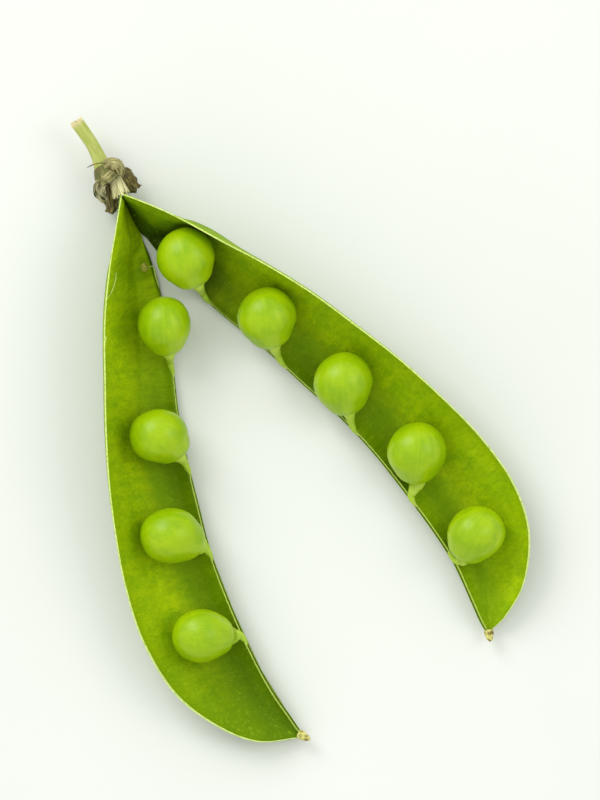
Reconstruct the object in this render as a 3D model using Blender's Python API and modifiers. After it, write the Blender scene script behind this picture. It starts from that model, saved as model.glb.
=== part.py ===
"""An opened pea pod lying on a table: two valves still joined at the stem end, with nine peas.

Lengths are millimetres up to the moment a point goes into a mesh. The plan frame has its
origin where the two valves meet at the stem, +X to the right and +Y towards the stem, and
root_of_the_pod moves everything so that the world origin is under the middle of the whole.
"""

import math

import bmesh
import bpy
from mathutils import Vector
from mathutils.bvhtree import BVHTree

MM = 0.001

# The pod wall
VALVE_WIDTH = 15.6  # across one valve, from the ventral to the dorsal seam
# Depth of the trough as a share of its width: shallow at the stem, full from this far along
STEM_END_DEPTH = 0.14
FULL_DEPTH = 0.36
FULL_DEPTH_FROM = 0.45
BULGE = {"left": 0.0, "right": 0.09}  # the right valve swells a little beside its first pea
BULGE_PLACE, BULGE_SPREAD = 0.15, 0.06
WALL = 0.9
SEAM_GAP = 0.3  # between pieces that touch
ROWS_ALONG = 46
ROWS_ACROSS = 16
PRESSED_IN = 0.25  # how far the soft wall flattens where it rests on the table
STEM_END_LIFT = 2.0
TIP_LIFT = 1.6

# Where the ventral seam and the dorsal rim run in plan, section by section, stem to tip
SEAMS = {
    "left": (
        ((0.0, -0.5), (-0.5, -0.7)),
        ((1.8, -4.5), (-0.8, -6.0)),
        ((3.9, -8.1), (-1.6, -11.0)),
        ((6.4, -15.9), (-2.4, -18.2)),
        ((7.7, -21.9), (-2.6, -23.5)),
        ((8.6, -29.0), (-2.5, -30.4)),
        ((9.4, -35.4), (-2.4, -37.0)),
        ((10.8, -42.6), (-2.0, -44.8)),
        ((12.5, -49.4), (-1.2, -52.2)),
        ((14.6, -57.4), (0.5, -62.0)),
        ((17.6, -65.3), (3.4, -71.4)),
        ((21.0, -73.0), (8.4, -79.8)),
        ((24.4, -79.3), (14.8, -85.0)),
        ((27.2, -83.4), (21.6, -87.8)),
        ((28.9, -85.9), (28.0, -87.3)),
    ),
    "right": (
        ((0.5, -0.3), (1.0, -0.1)),
        ((2.2, -4.4), (5.4, -2.1)),
        ((4.6, -7.9), (9.9, -4.2)),
        ((9.9, -13.5), (16.3, -7.7)),
        ((15.8, -19.2), (23.3, -11.4)),
        ((22.8, -24.9), (30.6, -15.9)),
        ((29.3, -30.9), (37.8, -21.2)),
        ((35.2, -36.2), (44.5, -26.4)),
        ((40.4, -41.8), (51.2, -32.4)),
        ((45.5, -48.3), (57.5, -38.8)),
        ((49.8, -54.2), (62.8, -46.2)),
        ((53.2, -59.5), (65.4, -54.0)),
        ((56.0, -65.7), (64.7, -62.0)),
        ((57.3, -68.6), (61.9, -67.4)),
        ((58.3, -70.3), (59.5, -69.8)),
    ),
}

# Peas: place in plan, diameter, and how far along the seam (0 to 1) the stalk joins it
PEAS = {
    "left": (
        ((7.0, -21.0), 8.8, 0.31),
        ((6.1, -38.8), 9.1, 0.49),
        ((8.0, -54.8), 9.4, 0.64),
        ((12.9, -70.8), 9.1, 0.80),
    ),
    "right": (
        ((10.4, -10.2), 9.2, 0.235),
        ((23.4, -19.7), 9.4, 0.405),
        ((35.6, -30.2), 9.6, 0.58),
        ((47.4, -41.3), 9.4, 0.72),
        ((56.9, -54.4), 9.1, 0.855),
    ),
}
FUNICLE_RADIUS = 0.45
FUNICLE_FLARE = 1.5  # how much wider it is where it joins the pea and the seam
FUNICLE_END_HEIGHT = 1.6  # middle of its end above the top of the seam
UNDER_THE_RIM = 8.0  # a height from which every pea sinks freely into its trough
MOST_STEPS_DOWN = 200
TOUCHING = 0.002  # a clearance this small ends a pea's way down
SEED_PLACE = (3.7, -11.9)
SEED_DIAMETER = 1.3

# The stem end
STEM_HEIGHT = 4.6
PEDICEL_RADIUS = 1.05
PEDICEL_ROUTE = ((-7.0, 11.3, 5.4), (-4.9, 8.3, 5.0), (-3.7, 6.2, 4.6), (-3.3, 5.1, 4.5))
CUP_AXIS = ((-3.1, 4.5), (-1.5, 2.0))
CUP_PROFILE = ((0.0, 1.15), (0.6, 1.6), (1.4, 2.0), (2.96, 2.1))  # along the axis, radius
SHEATH_AXIS = ((-1.3, 1.7), (-0.2, 0.2))
SHEATH_RADII = (1.25, 1.75)

# Dry calyx lobes: the middle line, the width and the way that the broad side faces
SEPALS = (
    (((-2.6, 4.2, 7.5), (-1.2, 5.4, 7.7), (0.2, 4.5, 7.2), (0.9, 2.9, 6.4)), 2.0, (0.3, 0.2, 1.0)),
    (((-1.2, 2.7, 7.3), (-2.3, 2.3, 7.5), (-3.5, 1.6, 7.0)), 1.5, (-0.1, 0.1, 1.0)),
    (((-4.7, 1.6, 4.8), (-4.7, 0.2, 4.8), (-3.5, -1.0, 4.2)), 1.5, (-0.5, 0.0, 1.0)),
    (((-2.6, 0.8, 2.0), (-2.6, -1.2, 1.4), (-2.2, -3.2, 1.0)), 1.9, (-0.2, 0.0, 1.0)),
    (((0.7, 3.7, 3.0), (1.8, 2.9, 2.8), (3.2, 1.8, 2.4)), 1.9, (0.2, 0.3, 1.0)),
)
SEPAL_THICKNESS = 0.35

# The two halves of the dry style: where each starts and ends, beyond its valve's tip
STYLES = {
    "left": ((28.9, -86.9), (30.3, -87.3)),
    "right": ((59.1, -70.5), (59.5, -71.7)),
}
STYLE_RADIUS = 0.42

# Under the middle of the finished pod, in the plan frame
MIDDLE = (28.8, -38.0)

PALETTE = {
    "pod_wall": ((0.235, 0.400, 0.012), 0.42),
    "pea_skin": ((0.400, 0.560, 0.010), 0.30),
    "funicle": ((0.400, 0.520, 0.070), 0.45),
    "undeveloped_seed": ((0.300, 0.290, 0.045), 0.55),
    "pedicel": ((0.470, 0.540, 0.100), 0.50),
    "calyx_cup": ((0.170, 0.230, 0.040), 0.60),
    "dry_sepal": ((0.130, 0.105, 0.045), 0.80),
    "dry_stamen": ((0.560, 0.500, 0.260), 0.75),
    "dry_style": ((0.330, 0.280, 0.110), 0.80),
}


def clear_scene():
    for obj in list(bpy.data.objects):
        bpy.data.objects.remove(obj)


def material(name):
    """One plain material for each kind of plant tissue."""
    made = bpy.data.materials.get(name)
    if made:
        return made
    colour, roughness = PALETTE[name]
    made = bpy.data.materials.new(name)
    made.use_nodes = True
    shader = made.node_tree.nodes["Principled BSDF"]
    shader.inputs["Base Color"].default_value = (*colour, 1.0)
    shader.inputs["Roughness"].default_value = roughness
    shader.inputs["Metallic"].default_value = 0.0
    return made


def adopt(obj, name, material_name, pod):
    """Names a finished object and gives it its material, collection and parent."""
    obj.name = name
    obj.data.name = name
    obj.data.materials.clear()
    obj.data.materials.append(material(material_name))
    for collection in obj.users_collection:
        collection.objects.unlink(obj)
    pod.users_collection[0].objects.link(obj)
    obj.parent = pod
    return obj


def root_of_the_pod():
    """The empty that carries every piece, in a collection of its own."""
    collection = bpy.data.collections.new("pea_pod")
    bpy.context.scene.collection.children.link(collection)
    pod = bpy.data.objects.new("pea_pod_root", None)
    pod.location = (-MIDDLE[0] * MM, -MIDDLE[1] * MM, 0.0)
    collection.objects.link(pod)
    return pod


# ---- The law of the pod wall ----


def through(points, t):
    """The point at t (0 to 1) of a smooth curve through points, which are evenly numbered."""
    place = min(max(t, 0.0), 1.0) * (len(points) - 1)
    i = min(int(place), len(points) - 2)
    f = place - i
    before, here = points[max(i - 1, 0)], points[i]
    there, after = points[i + 1], points[min(i + 2, len(points) - 1)]
    return Vector(
        (
            2 * p1
            + (p2 - p0) * f
            + (2 * p0 - 5 * p1 + 4 * p2 - p3) * f**2
            + (3 * p1 - p0 - 3 * p2 + p3) * f**3
        )
        / 2
        for p0, p1, p2, p3 in zip(before, here, there, after)
    )


def share_of_length(side, t):
    """How far along the ventral seam (0 to 1) section t lies."""
    seam = [Vector(ventral) for ventral, _ in SEAMS[side]]
    steps = [(b - a).length for a, b in zip(seam, seam[1:])]
    place = t * len(steps)
    whole = min(int(place), len(steps) - 1)
    return (sum(steps[:whole]) + steps[whole] * (place - whole)) / sum(steps)


def section_at(side, share):
    """The section number t that lies this share of the way along the ventral seam."""
    low, high = 0.0, 1.0
    for _ in range(30):
        middle = (low + high) / 2
        if share_of_length(side, middle) < share:
            low = middle
        else:
            high = middle
    return low


def true_width(share):
    """Width of a valve from seam to seam: round at the stem end, full in the middle, pointed at the tip."""
    if share < 0.2:
        return VALVE_WIDTH * math.sqrt(max(1.0 - (1.0 - (share + 0.006) / 0.206) ** 2, 0.0))
    if share > 0.74:
        return VALVE_WIDTH * max(1.0 - ((share - 0.74) / 0.265) ** 2, 0.0) ** 0.65
    return VALVE_WIDTH


def lift(share):
    """How far the pod stands off the table: a little at the stem end and at the tips."""
    at_stem = max(1.0 - share / 0.14, 0.0) ** 2
    at_tip = max((share - 0.84) / 0.16, 0.0) ** 2
    return STEM_END_LIFT * at_stem + TIP_LIFT * at_tip


def depth_share(side, share):
    """Depth of the trough as a share of its width."""
    full = min(share / FULL_DEPTH_FROM, 1.0) ** 0.75
    bulge = BULGE[side] * math.exp(-(((share - BULGE_PLACE) / BULGE_SPREAD) ** 2))
    return STEM_END_DEPTH + (FULL_DEPTH - STEM_END_DEPTH) * full + bulge


def sag(v):
    """Depth of the trough at v, from 0 at the ventral to 1 at the dorsal seam: deepest at 0.4."""
    return (v / 0.4) ** 0.5 * ((1.0 - v) / 0.6) ** 0.75


def section(side, t):
    """A section's start, its direction across in plan, its width, its run in plan and its depth."""
    share = share_of_length(side, t)
    ventral = through([pair[0] for pair in SEAMS[side]], t)
    dorsal = through([pair[1] for pair in SEAMS[side]], t)
    across = (dorsal - ventral).normalized()
    start = ventral + across * SEAM_GAP / 2
    run = (dorsal - start).length
    width = max(true_width(share), run)
    rise = math.sqrt(width**2 - run**2)
    return start, across, run, rise, depth_share(side, share) * width


def drop_of(run, rise, depth):
    """Height of the lowest point of a section below its ventral seam."""
    width = math.hypot(run, rise)
    heights = [rise * k / 40 - depth * sag(k / 40) * run / width for k in range(41)]
    return min(heights)


def valve_point(side, t, v):
    """A point of the outer face of the pod wall."""
    start, across, run, rise, depth = section(side, t)
    width = math.hypot(run, rise)
    outwards = depth * sag(v)
    plan = start + across * (run * v + outwards * rise / width)
    base = lift(share_of_length(side, t)) - PRESSED_IN - drop_of(run, rise, depth)
    height = base + rise * v - outwards * run / width
    return Vector((plan.x, plan.y, max(height, 0.0)))


def build_valve(side, pod):
    """A sheet laid on the law of the pod wall, given its thickness towards the inside."""
    bpy.ops.mesh.primitive_grid_add(x_subdivisions=ROWS_ALONG, y_subdivisions=ROWS_ACROSS, size=1)
    valve = bpy.context.object
    for vertex in valve.data.vertices:
        t = vertex.co.x + 0.5
        v = (1.0 - math.cos(math.pi * (vertex.co.y + 0.5))) / 2
        vertex.co = valve_point(side, t, v) * MM
    solidify = valve.modifiers.new("wall", "SOLIDIFY")
    solidify.thickness = WALL * MM
    solidify.offset = -1 if side == "left" else 1
    solidify.use_quality_normals = True
    valve.data.shade_smooth()
    return adopt(valve, f"valve_{side}", "pod_wall", pod)


# ---- Peas, their stalks and the seed that did not grow ----


def surface_of(objects):
    """A search tree over the evaluated meshes of some objects, in the plan frame."""
    graph = bpy.context.evaluated_depsgraph_get()
    points, faces = [], []
    for obj in objects:
        mesh = obj.evaluated_get(graph).to_mesh()
        first = len(points)
        points += [vertex.co / MM for vertex in mesh.vertices]
        faces += [[first + i for i in polygon.vertices] for polygon in mesh.polygons]
        obj.evaluated_get(graph).to_mesh_clear()
    return BVHTree.FromPolygons(points, faces)


def resting_height(place, radius, surface):
    """Lowers a ball onto the pod wall and gives the height of its centre."""
    centre = Vector((*place, UNDER_THE_RIM))
    for _ in range(MOST_STEPS_DOWN):
        clearance = surface.find_nearest(centre)[3] - radius - SEAM_GAP
        centre.z = max(centre.z - clearance, radius)
        if clearance < TOUCHING or centre.z == radius:
            break
    return centre.z


def build_ball(name, centre, diameter, material_name, pod):
    bpy.ops.mesh.primitive_uv_sphere_add(segments=20, ring_count=12, radius=diameter / 2 * MM)
    ball = bpy.context.object
    ball.location = centre * MM
    ball.data.shade_smooth()
    return adopt(ball, name, material_name, pod)


def build_tube(name, points, radii, material_name, pod):
    """A round stalk along points, with a radius at each."""
    curve = bpy.data.curves.new(name, "CURVE")
    curve.dimensions = "3D"
    curve.bevel_depth = MM
    curve.bevel_resolution = 2
    curve.use_fill_caps = True
    spline = curve.splines.new("POLY")
    spline.points.add(len(points) - 1)
    for knot, point, radius in zip(spline.points, points, radii):
        knot.co = (*(Vector(point) * MM), 1.0)
        knot.radius = radius
    tube = bpy.data.objects.new(name, curve)
    bpy.context.scene.collection.objects.link(tube)
    return adopt(tube, name, material_name, pod)


def seam_point(side, share):
    """The top of the ventral seam, in the middle of the wall's thickness."""
    t = section_at(side, share)
    across = section(side, t)[1]
    point = valve_point(side, t, 0.0)
    return point + Vector((across.x, across.y, 0.0)) * WALL / 2


def build_funicle(name, centre, diameter, root, pod):
    """The short stalk of a pea, wider at both ends, from the pea to the ventral seam."""
    last = root + Vector((0.0, 0.0, FUNICLE_END_HEIGHT))
    first = centre + (last - centre).normalized() * (diameter / 2 + SEAM_GAP)
    count = 9
    points, radii = [], []
    for k in range(count):
        f = k / (count - 1)
        points.append(first.lerp(last, f))
        flare = abs(2 * f - 1) ** 2
        radii.append(FUNICLE_RADIUS * (1.0 + (FUNICLE_FLARE - 1.0) * flare))
    return build_tube(name, points, radii, "funicle", pod)


def build_peas(surface, pod):
    for side, peas in PEAS.items():
        for number, (place, diameter, share) in enumerate(peas, 1):
            centre = Vector((*place, resting_height(place, diameter / 2, surface)))
            root = seam_point(side, share)
            build_ball(f"pea_{side}_{number}", centre, diameter, "pea_skin", pod)
            build_funicle(f"funicle_{side}_{number}", centre, diameter, root, pod)


def build_undeveloped_seed(surface, pod):
    """A seed that stayed small, near the stem end of the left valve."""
    height = resting_height(SEED_PLACE, SEED_DIAMETER / 2, surface)
    centre = Vector((*SEED_PLACE, height))
    build_ball("undeveloped_seed", centre, SEED_DIAMETER, "undeveloped_seed", pod)


# ---- The stem end and the tips ----


def build_turned(name, axis, profile, material_name, pod):
    """A round solid turned about a level axis, from a profile of places along it and radii."""
    start = Vector((*axis[0], STEM_HEIGHT))
    end = Vector((*axis[1], STEM_HEIGHT))
    mesh = bmesh.new()
    rim = [(radius, along) for along, radius in profile]
    outline = [(0.0, profile[0][0]), *rim, (0.0, profile[-1][0])]
    corners = [mesh.verts.new((radius * MM, 0.0, along * MM)) for radius, along in outline]
    edges = [mesh.edges.new(pair) for pair in zip(corners, corners[1:])]
    bmesh.ops.spin(
        mesh,
        geom=corners + edges,
        cent=(0.0, 0.0, 0.0),
        axis=(0.0, 0.0, 1.0),
        angle=math.tau,
        steps=20,
    )
    bmesh.ops.remove_doubles(mesh, verts=mesh.verts, dist=0.001 * MM)
    bmesh.ops.recalc_face_normals(mesh, faces=mesh.faces)
    data = bpy.data.meshes.new(name)
    mesh.to_mesh(data)
    mesh.free()
    turned = bpy.data.objects.new(name, data)
    bpy.context.scene.collection.objects.link(turned)
    turned.location = start * MM
    turned.rotation_euler = (end - start).to_track_quat("Z", "Y").to_euler()
    data.shade_smooth()
    return adopt(turned, name, material_name, pod)


def build_sepal(name, route, width, facing, pod):
    """A dry calyx lobe: a curled strip that narrows to its free end."""
    bpy.ops.mesh.primitive_grid_add(x_subdivisions=10, y_subdivisions=4, size=1)
    lobe = bpy.context.object
    for vertex in lobe.data.vertices:
        t, side = vertex.co.x + 0.5, vertex.co.y
        along = through(route, min(t + 0.02, 1.0)) - through(route, max(t - 0.02, 0.0))
        sideways = along.cross(Vector(facing)).normalized()
        upwards = sideways.cross(along).normalized()
        share = 0.55 + 0.45 * math.sin(math.pi * min(t + 0.25, 1.0))
        curl = upwards * (0.9 * side**2 * width)
        vertex.co = (through(route, t) + sideways * side * width * share - curl) * MM
    solidify = lobe.modifiers.new("thickness", "SOLIDIFY")
    solidify.thickness = SEPAL_THICKNESS * MM
    solidify.offset = 0
    lobe.data.shade_smooth()
    return adopt(lobe, name, "dry_sepal", pod)


def build_stem_end(pod):
    radii = [PEDICEL_RADIUS * scale for scale in (1.0, 0.97, 1.0, 1.1)]
    build_tube("pedicel", PEDICEL_ROUTE, radii, "pedicel", pod)
    build_turned("calyx_cup", CUP_AXIS, CUP_PROFILE, "calyx_cup", pod)
    length = math.dist(*SHEATH_AXIS)
    sheath = tuple(zip((0.0, length), SHEATH_RADII))
    build_turned("stamen_sheath", SHEATH_AXIS, sheath, "dry_stamen", pod)
    for number, (route, width, facing) in enumerate(SEPALS, 1):
        build_sepal(f"sepal_{number}", route, width, facing, pod)


def build_styles(pod):
    """Each valve keeps half of the dry style at its tip."""
    for side, (start, end) in STYLES.items():
        height = valve_point(side, 1.0, 0.5).z + STYLE_RADIUS
        points = [(*start, height), (*end, height + 0.3)]
        radii = (STYLE_RADIUS, STYLE_RADIUS * 0.5)
        build_tube(f"style_{side}", points, radii, "dry_style", pod)


def build():
    clear_scene()
    pod = root_of_the_pod()
    valves = [build_valve(side, pod) for side in SEAMS]
    surface = surface_of(valves)
    build_peas(surface, pod)
    build_undeveloped_seed(surface, pod)
    build_stem_end(pod)
    build_styles(pod)


build()
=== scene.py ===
import math

import bmesh
import bpy
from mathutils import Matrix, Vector, noise


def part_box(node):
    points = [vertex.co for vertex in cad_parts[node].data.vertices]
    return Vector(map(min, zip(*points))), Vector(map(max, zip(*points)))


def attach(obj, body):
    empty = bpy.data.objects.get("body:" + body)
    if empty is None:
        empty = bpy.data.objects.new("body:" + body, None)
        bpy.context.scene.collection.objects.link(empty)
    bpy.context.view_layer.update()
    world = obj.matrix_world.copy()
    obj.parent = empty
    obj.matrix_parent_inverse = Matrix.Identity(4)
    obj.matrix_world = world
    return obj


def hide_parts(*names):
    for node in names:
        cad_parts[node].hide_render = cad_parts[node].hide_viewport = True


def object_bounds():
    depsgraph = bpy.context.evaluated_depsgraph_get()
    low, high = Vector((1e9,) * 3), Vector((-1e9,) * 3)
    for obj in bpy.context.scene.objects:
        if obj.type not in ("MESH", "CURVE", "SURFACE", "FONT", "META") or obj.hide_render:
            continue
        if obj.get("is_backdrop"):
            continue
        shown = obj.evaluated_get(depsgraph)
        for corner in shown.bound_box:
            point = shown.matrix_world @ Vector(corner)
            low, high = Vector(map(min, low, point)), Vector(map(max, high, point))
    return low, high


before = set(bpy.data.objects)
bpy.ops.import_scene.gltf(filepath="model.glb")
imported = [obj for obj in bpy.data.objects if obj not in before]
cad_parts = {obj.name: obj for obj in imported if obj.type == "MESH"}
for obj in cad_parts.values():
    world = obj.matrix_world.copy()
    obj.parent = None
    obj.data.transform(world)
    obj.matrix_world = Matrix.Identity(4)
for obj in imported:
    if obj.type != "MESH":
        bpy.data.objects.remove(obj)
cad_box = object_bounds()


# ---- The two valves ----
# The pod wall, split down its dorsal seam and laid open. Each valve is a fleshy green trough,
# satin inside, with a thin dorsal rim. Its other rim carries the placenta, the pale double cord
# that feeds the seeds. The valves grew as one and still meet at the stem.

# Sizes are in millimetres, and plan places are from where the valves meet at the stem. A share
# is a part of a valve's length, from 0 at the stem to 1 at the tip.
MM = 0.001
POD_MIDDLE = Vector((28.8, -38.0))
# The wall's full width, the shares where it is first and last that wide, and its two blunt ends
VALVE_WIDTH, FULL_FROM, FULL_TO = 15.6, 0.2, 0.74
STEM_END_BLUNT, TIP_BLUNT, TIP_TAPER = 0.006, 0.005, 0.65
# Depth of the trough as a share of its width. The right one swells beside its first pea.
STEM_END_DEPTH, FULL_DEPTH, FULL_DEPTH_FROM = 0.14, 0.36, 0.45
SWELLING = {"left": 0.0, "right": 0.09}
SWELLING_AT, SWELLING_SPREAD = 0.15, 0.06
# Where the trough is deepest on its way across, and how bluntly it falls from each rim. The
# height at which a valve lies is reckoned from a gentler fall.
DEEPEST, VENTRAL_FALL, DORSAL_FALL, RESTING_FALL = 0.4, 0.38, 0.74, 0.5
# How thick the wall is, and how near the two valves come
WALL, DORSAL_RIM, VENTRAL_RIM = 0.9, 0.25, 0.4
CUT_GAP, MEETING = 0.3, 0.26
# The wall gives a little on the table, and its two ends stand clear of it
PRESSED_IN = 0.25
STEM_END_LIFT, STEM_END_TO, TIP_LIFT, TIP_FROM = 2.0, 0.14, 1.6, 0.84
# The hollow that each pea pressed into the wall: how deep it is and how far it spreads
PRESSED_HOLLOW, HOLLOW_SPREAD = 0.3, 3.4
# The dorsal rim stands high at the stem end. From here it comes down evenly to the tip.
RISE_NEAR_TIP, FALL_FROM = 4.6, 0.7
SECTIONS_ALONG, POINTS_ROUND = 400, 128

# The ventral seam and the dorsal rim of each valve in plan, from stem to tip
SEAMS = {
    "left": (
        ((0.2, -0.45), (0.1, -0.05)),
        ((1.8, -4.5), (-0.8, -6.0)),
        ((3.9, -8.1), (-1.6, -11.0)),
        ((6.4, -15.9), (-2.4, -18.2)),
        ((7.7, -21.9), (-2.6, -23.5)),
        ((8.6, -29.0), (-2.5, -30.4)),
        ((9.4, -35.4), (-2.4, -37.0)),
        ((10.8, -42.6), (-2.0, -44.8)),
        ((12.5, -49.4), (-1.2, -52.2)),
        ((14.6, -57.4), (0.5, -62.0)),
        ((17.6, -65.3), (3.4, -71.4)),
        ((21.0, -73.0), (8.4, -79.8)),
        ((24.4, -79.3), (14.8, -85.0)),
        ((27.2, -83.4), (21.6, -87.8)),
        ((28.9, -85.9), (28.0, -87.3)),
    ),
    "right": (
        ((0.22, -0.4), (0.16, 0.0)),
        ((2.2, -4.4), (5.4, -2.1)),
        ((4.6, -7.9), (9.9, -4.2)),
        ((9.9, -13.5), (16.3, -7.7)),
        ((15.8, -19.2), (23.3, -11.4)),
        ((22.8, -24.9), (30.6, -15.9)),
        ((29.3, -30.9), (37.8, -21.2)),
        ((35.2, -36.2), (44.5, -26.4)),
        ((40.4, -41.8), (51.2, -32.4)),
        ((45.5, -48.3), (57.5, -38.8)),
        ((49.8, -54.2), (62.8, -46.2)),
        ((53.2, -59.5), (65.4, -54.0)),
        ((56.0, -65.7), (64.7, -62.0)),
        ((57.3, -68.6), (61.9, -67.4)),
        ((58.3, -70.3), (59.5, -69.8)),
    ),
}


def through(points, t):
    """The point at t (0 to 1) of a smooth curve through evenly numbered points."""
    place = min(max(t, 0.0), 1.0) * (len(points) - 1)
    i = min(int(place), len(points) - 2)
    f = place - i
    before, here = points[max(i - 1, 0)], points[i]
    there, after = points[i + 1], points[min(i + 2, len(points) - 1)]
    return Vector(
        (
            2 * p1
            + (p2 - p0) * f
            + (2 * p0 - 5 * p1 + 4 * p2 - p3) * f**2
            + (3 * p1 - p0 - 3 * p2 + p3) * f**3
        )
        / 2
        for p0, p1, p2, p3 in zip(before, here, there, after)
    )


def slope(low, high, value):
    """0 at low and 1 at high, with a soft rise between."""
    f = min(max((value - low) / (high - low), 0.0), 1.0)
    return f * f * (3.0 - 2.0 * f)


def bell(middle, spread, value):
    """1 at middle, falling away to both sides."""
    return math.exp(-(((value - middle) / spread) ** 2))


def true_width(share):
    """Round at the stem end, full in the middle, pointed at the tip."""
    if share < FULL_FROM:
        short = 1.0 - (share + STEM_END_BLUNT) / (FULL_FROM + STEM_END_BLUNT)
        return VALVE_WIDTH * math.sqrt(max(1.0 - short**2, 0.0))
    if share > FULL_TO:
        past = (share - FULL_TO) / (1.0 - FULL_TO + TIP_BLUNT)
        return VALVE_WIDTH * max(1.0 - past**2, 0.0) ** TIP_TAPER
    return VALVE_WIDTH


def sag(v, ventral_fall=VENTRAL_FALL):
    """Depth of the trough, 0 to 1, at v on the way from the ventral (0) to the dorsal rim (1)."""
    return (v / DEEPEST) ** ventral_fall * ((1.0 - v) / (1.0 - DEEPEST)) ** DORSAL_FALL


class Section:
    """One cut across a valve: where it starts, which way it runs, and its curve."""

    def __init__(self, side, t):
        seam = [Vector(ventral) for ventral, _ in SEAMS[side]]
        steps = [(b - a).length for a, b in zip(seam, seam[1:])]
        whole = min(int(t * len(steps)), len(steps) - 1)
        self.along = sum(steps[:whole]) + steps[whole] * (t * len(steps) - whole)
        self.share = self.along / sum(steps)
        ventral = through(seam, t)
        dorsal = through([pair[1] for pair in SEAMS[side]], t)
        self.across = (dorsal - ventral).normalized()
        self.start = ventral + self.across * CUT_GAP / 2
        self.run = (dorsal - self.start).length
        # Where the wall is wider than its plan, it is rolled up and its dorsal rim stands high
        self.rise = math.sqrt(max(true_width(self.share), self.run) ** 2 - self.run**2)
        falling = RISE_NEAR_TIP * (1.0 - self.share) / (1.0 - FALL_FROM)
        late = slope(FALL_FROM - 0.08, FALL_FROM + 0.04, self.share)
        self.rise += (falling - self.rise) * late
        self.width = math.hypot(self.run, self.rise)
        full = min(self.share / FULL_DEPTH_FROM, 1.0) ** 0.75
        depth = STEM_END_DEPTH + (FULL_DEPTH - STEM_END_DEPTH) * full
        depth += SWELLING[side] * bell(SWELLING_AT, SWELLING_SPREAD, self.share)
        self.depth = depth * self.width
        # At the neck, where the valves are joined, the wall is folded nearly flat
        self.fold = slope(0.115, 0.07, self.share)
        lift = STEM_END_LIFT * max(1.0 - self.share / STEM_END_TO, 0.0) ** 2
        lift += TIP_LIFT * max((self.share - TIP_FROM) / (1.0 - TIP_FROM), 0.0) ** 2
        drop = self.depth * self.run / self.width
        places = [k / 40 for k in range(41)]
        lowest = min(self.rise * v - drop * sag(v, RESTING_FALL) for v in places)
        self.base = lift - PRESSED_IN - lowest

    def curve(self, v):
        """The outer face at v: how far across it is, and how far above the ventral seam."""
        outwards = self.depth * sag(v) * (1.0 - self.fold * max(slope(0.5, 0.0, v), 0.6))
        across = self.run * v + outwards * self.rise / self.width
        return across, self.rise * v - outwards * self.run / self.width

    def at(self, v, inwards=0.0, beyond=0.0):
        """The point of the wall that is inwards from the outer face, or beyond the nearer rim."""
        # Right at the rims the curve turns too sharply to say which way the wall faces
        near, step = min(max(v, 0.006), 0.985), 0.005
        (x0, z0), (x1, z1) = self.curve(near - step), self.curve(near + step)
        tangent = Vector((x1 - x0, z1 - z0)).normalized()
        if v < 0.5:
            beyond = -beyond
        x, z = self.curve(v)
        x += tangent.x * beyond - tangent.y * inwards
        z = max(self.base + z, 0.0) + tangent.y * beyond + tangent.x * inwards
        plan = self.start + self.across * x - POD_MIDDLE
        return Vector((plan.x, plan.y, max(z, 0.0)))


# Points nearer than this are one point
TOUCHING = 0.0005


def wrap(sections, points_round, place, marks):
    """A closed skin: a ring of points for each section, its seam merged and its ends closed.
    The marks are values that the place function gives each point, for the material to read."""
    skin = bmesh.new()
    layers = [skin.verts.layers.float.new(mark) for mark in marks]
    last = len(sections) - 1
    bmesh.ops.create_grid(skin, x_segments=last, y_segments=points_round, size=0.5)
    for vert in skin.verts:
        section = sections[round((vert.co.x + 0.5) * last)]
        point, values = place(section, vert.co.y + 0.5)
        vert.co = point * MM
        for layer, value in zip(layers, values):
            vert[layer] = value
    bmesh.ops.remove_doubles(skin, verts=skin.verts, dist=TOUCHING * MM)
    bmesh.ops.holes_fill(skin, edges=skin.edges, sides=0)
    bmesh.ops.recalc_face_normals(skin, faces=skin.faces)
    return skin


def new_piece(name, skin, finish, slot, *nodes):
    """Makes an object of a finished skin. It rides with the pod and stands for its CAD nodes."""
    for face in skin.faces:
        face.smooth = True
    mesh = bpy.data.meshes.new(name)
    skin.to_mesh(mesh)
    skin.free()
    mesh.materials.append(finish)
    piece = bpy.data.objects.new(name, mesh)
    bpy.context.scene.collection.objects.link(piece)
    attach(piece, "root")
    if nodes:
        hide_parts(*nodes)
    return piece


def thickness(section, v):
    """How thick the wall is at v: full in the trough, thin at the rims and in narrow sections."""
    at_dorsal, at_ventral = slope(0.72, 1.0, v), slope(0.3, 0.08, v)
    wall = WALL * min(1.0, 0.1 + section.width / 8.0)
    full = wall + (DORSAL_RIM - wall) * at_dorsal + (VENTRAL_RIM - wall) * at_ventral
    return full * min(1.0, 0.4 + section.width / 5.0)


def pressed(point, cells):
    """How far the peas have pressed into the soft inner face here, 0 to about 1."""
    return min(sum(bell(0.0, HOLLOW_SPREAD, (point.xy - cell).length) for cell in cells), 1.0)


# How far round a section the outer face, the dorsal rim and the inner face each end
OUTER_ENDS, DORSAL_ENDS, INNER_ENDS = 0.44, 0.48, 0.88


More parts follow.
